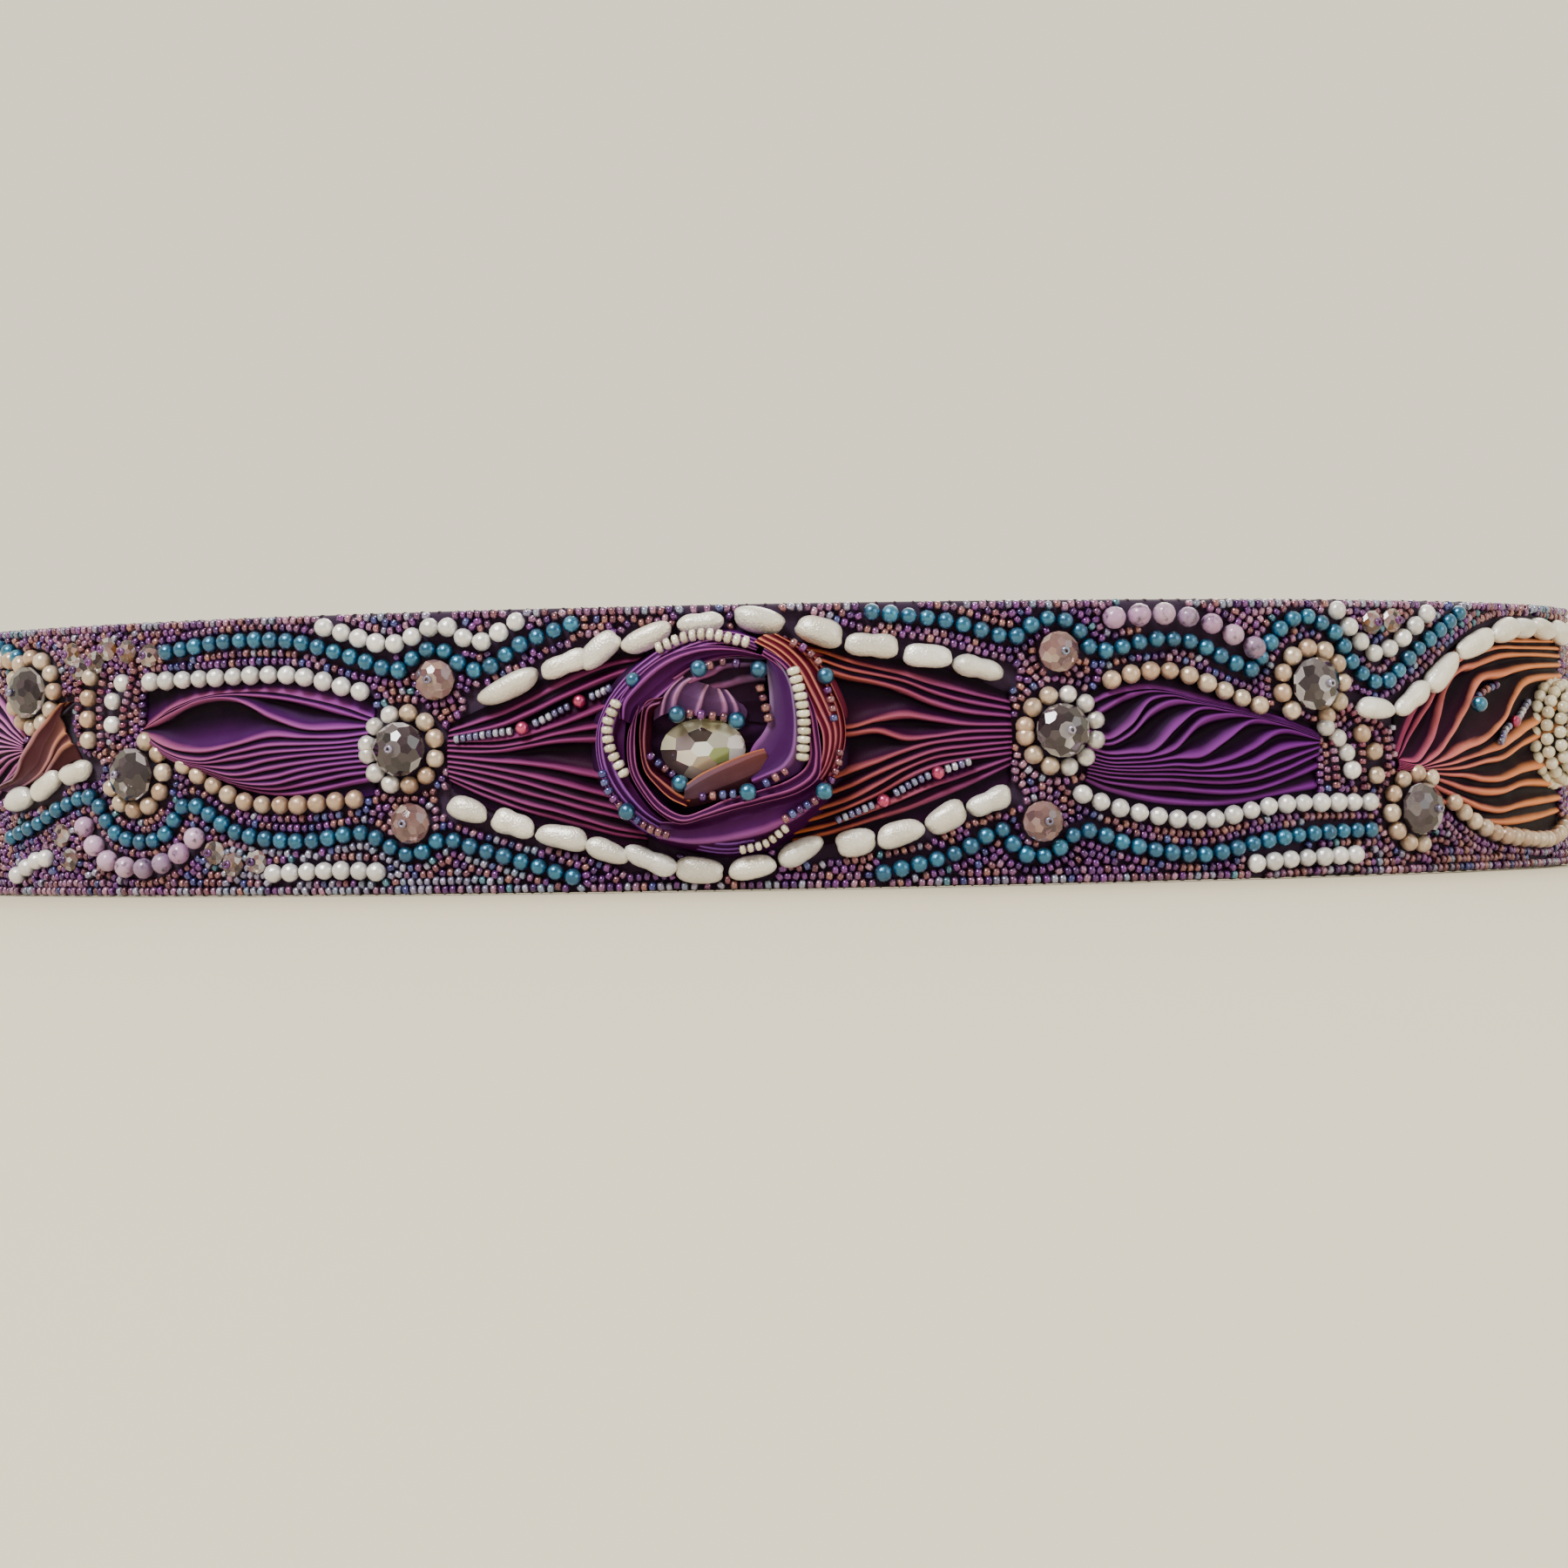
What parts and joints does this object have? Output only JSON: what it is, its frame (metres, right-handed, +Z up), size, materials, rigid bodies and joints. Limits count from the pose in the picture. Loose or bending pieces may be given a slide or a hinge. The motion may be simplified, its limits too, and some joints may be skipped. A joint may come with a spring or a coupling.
{
  "type": "bridal sash belt with pleated silk and beadwork, held at the waist",
  "caption": "Bridal sash worn round the waist: pleated dyed silk panels and a silk rosette with an oval stone, framed by rows of pearls and crystals, on a cloth band that hooks at the back.",
  "frame": {"origin": "centre of the waist hollow, at mid-height of the sash", "axes": "+Z up along the wearer, the rosette at the centre front faces -Y, +X to the right of someone who looks at the rosette"},
  "size_m": [0.3108, 0.2249, 0.0476],
  "materials": {
    "backing_cloth": "matt felted cloth",
    "pearl_teal": "pearl-coated glass, dark teal",
    "pearl_white": "pearl-coated glass, off-white",
    "pearl_cream": "pearl-coated glass, champagne",
    "pearl_rice": "uneven rice pearl",
    "stone_mauve": "polished mauve stone",
    "crystal_smoke": "faceted smoky glass",
    "crystal_rosy": "faceted rosy glass",
    "stone_oval": "foiled chessboard-cut glass",
    "hook_metal": "flat sewn hook and bar",
    "silk_plum": "pleated silk",
    "silk_magenta": "pleated silk",
    "silk_coral": "pleated silk",
    "silk_violet": "pleated silk",
    "silk_amber": "pleated silk",
    "silk_rose": "pleated silk",
    "silk_umber": "pleated silk",
    "silk_indigo": "pleated silk"
  },
  "bodies": {
    "root": {"back_hook": "hook_metal", "back_strap_left": "backing_cloth", "back_strap_right": "backing_cloth", "cream_left": "pearl_cream", "cream_lens_left": "pearl_cream", "cream_lens_right": "pearl_cream", "cream_outer_left": "pearl_cream", "cream_outer_right": "pearl_cream", "cream_right": "pearl_cream", "crystal_centre_left": "crystal_smoke", "crystal_centre_right": "crystal_smoke", "crystal_lens_left": "crystal_smoke", "crystal_lens_right": "crystal_smoke", "crystal_lower_left": "crystal_rosy", "crystal_lower_right": "crystal_rosy", "crystal_outer_left": "crystal_smoke", "crystal_outer_right": "crystal_smoke", "crystal_upper_left": "crystal_rosy", "crystal_upper_right": "crystal_rosy", "front_band": "backing_cloth", "mauve_left": "stone_mauve", "mauve_right": "stone_mauve", "pearl_dome": "pearl_cream", "rice_left": "pearl_rice", "rice_lower_left": "pearl_rice", "rice_lower_right": "pearl_rice", "rice_outer_right": "pearl_rice", "rice_upper_left": "pearl_rice", "rice_upper_right": "pearl_rice", "ring_centre_left": "pearl_cream", "ring_centre_right": "pearl_cream", "ring_lens_left": "pearl_white", "ring_lens_right": "pearl_white", "ring_outer_left": "pearl_cream", "ring_outer_right": "pearl_cream", "rosette_fold": "silk_indigo", "rosette_middle": "silk_coral", "rosette_outer_left": "silk_violet", "rosette_outer_right": "silk_amber", "rosette_petal": "silk_plum", "silk_fan_inner_left": "silk_magenta", "silk_fan_inner_right": "silk_coral", "silk_fan_outer_left": "silk_rose", "silk_fan_outer_right": "silk_amber", "silk_knot_left": "silk_umber", "silk_lens_left": "silk_plum", "silk_lens_right": "silk_violet", "stone_centre": "stone_oval", "teal_lower_left": "pearl_teal", "teal_lower_right": "pearl_teal", "teal_upper_left": "pearl_teal", "teal_upper_right": "pearl_teal", "white_arch": "pearl_white", "white_left": "pearl_white", "white_lens_left": "pearl_white", "white_lens_right": "pearl_white", "white_lower_left": "pearl_white", "white_lower_right": "pearl_white", "white_right": "pearl_white", "white_upper_left": "pearl_white"}
  },
  "joints": []
}
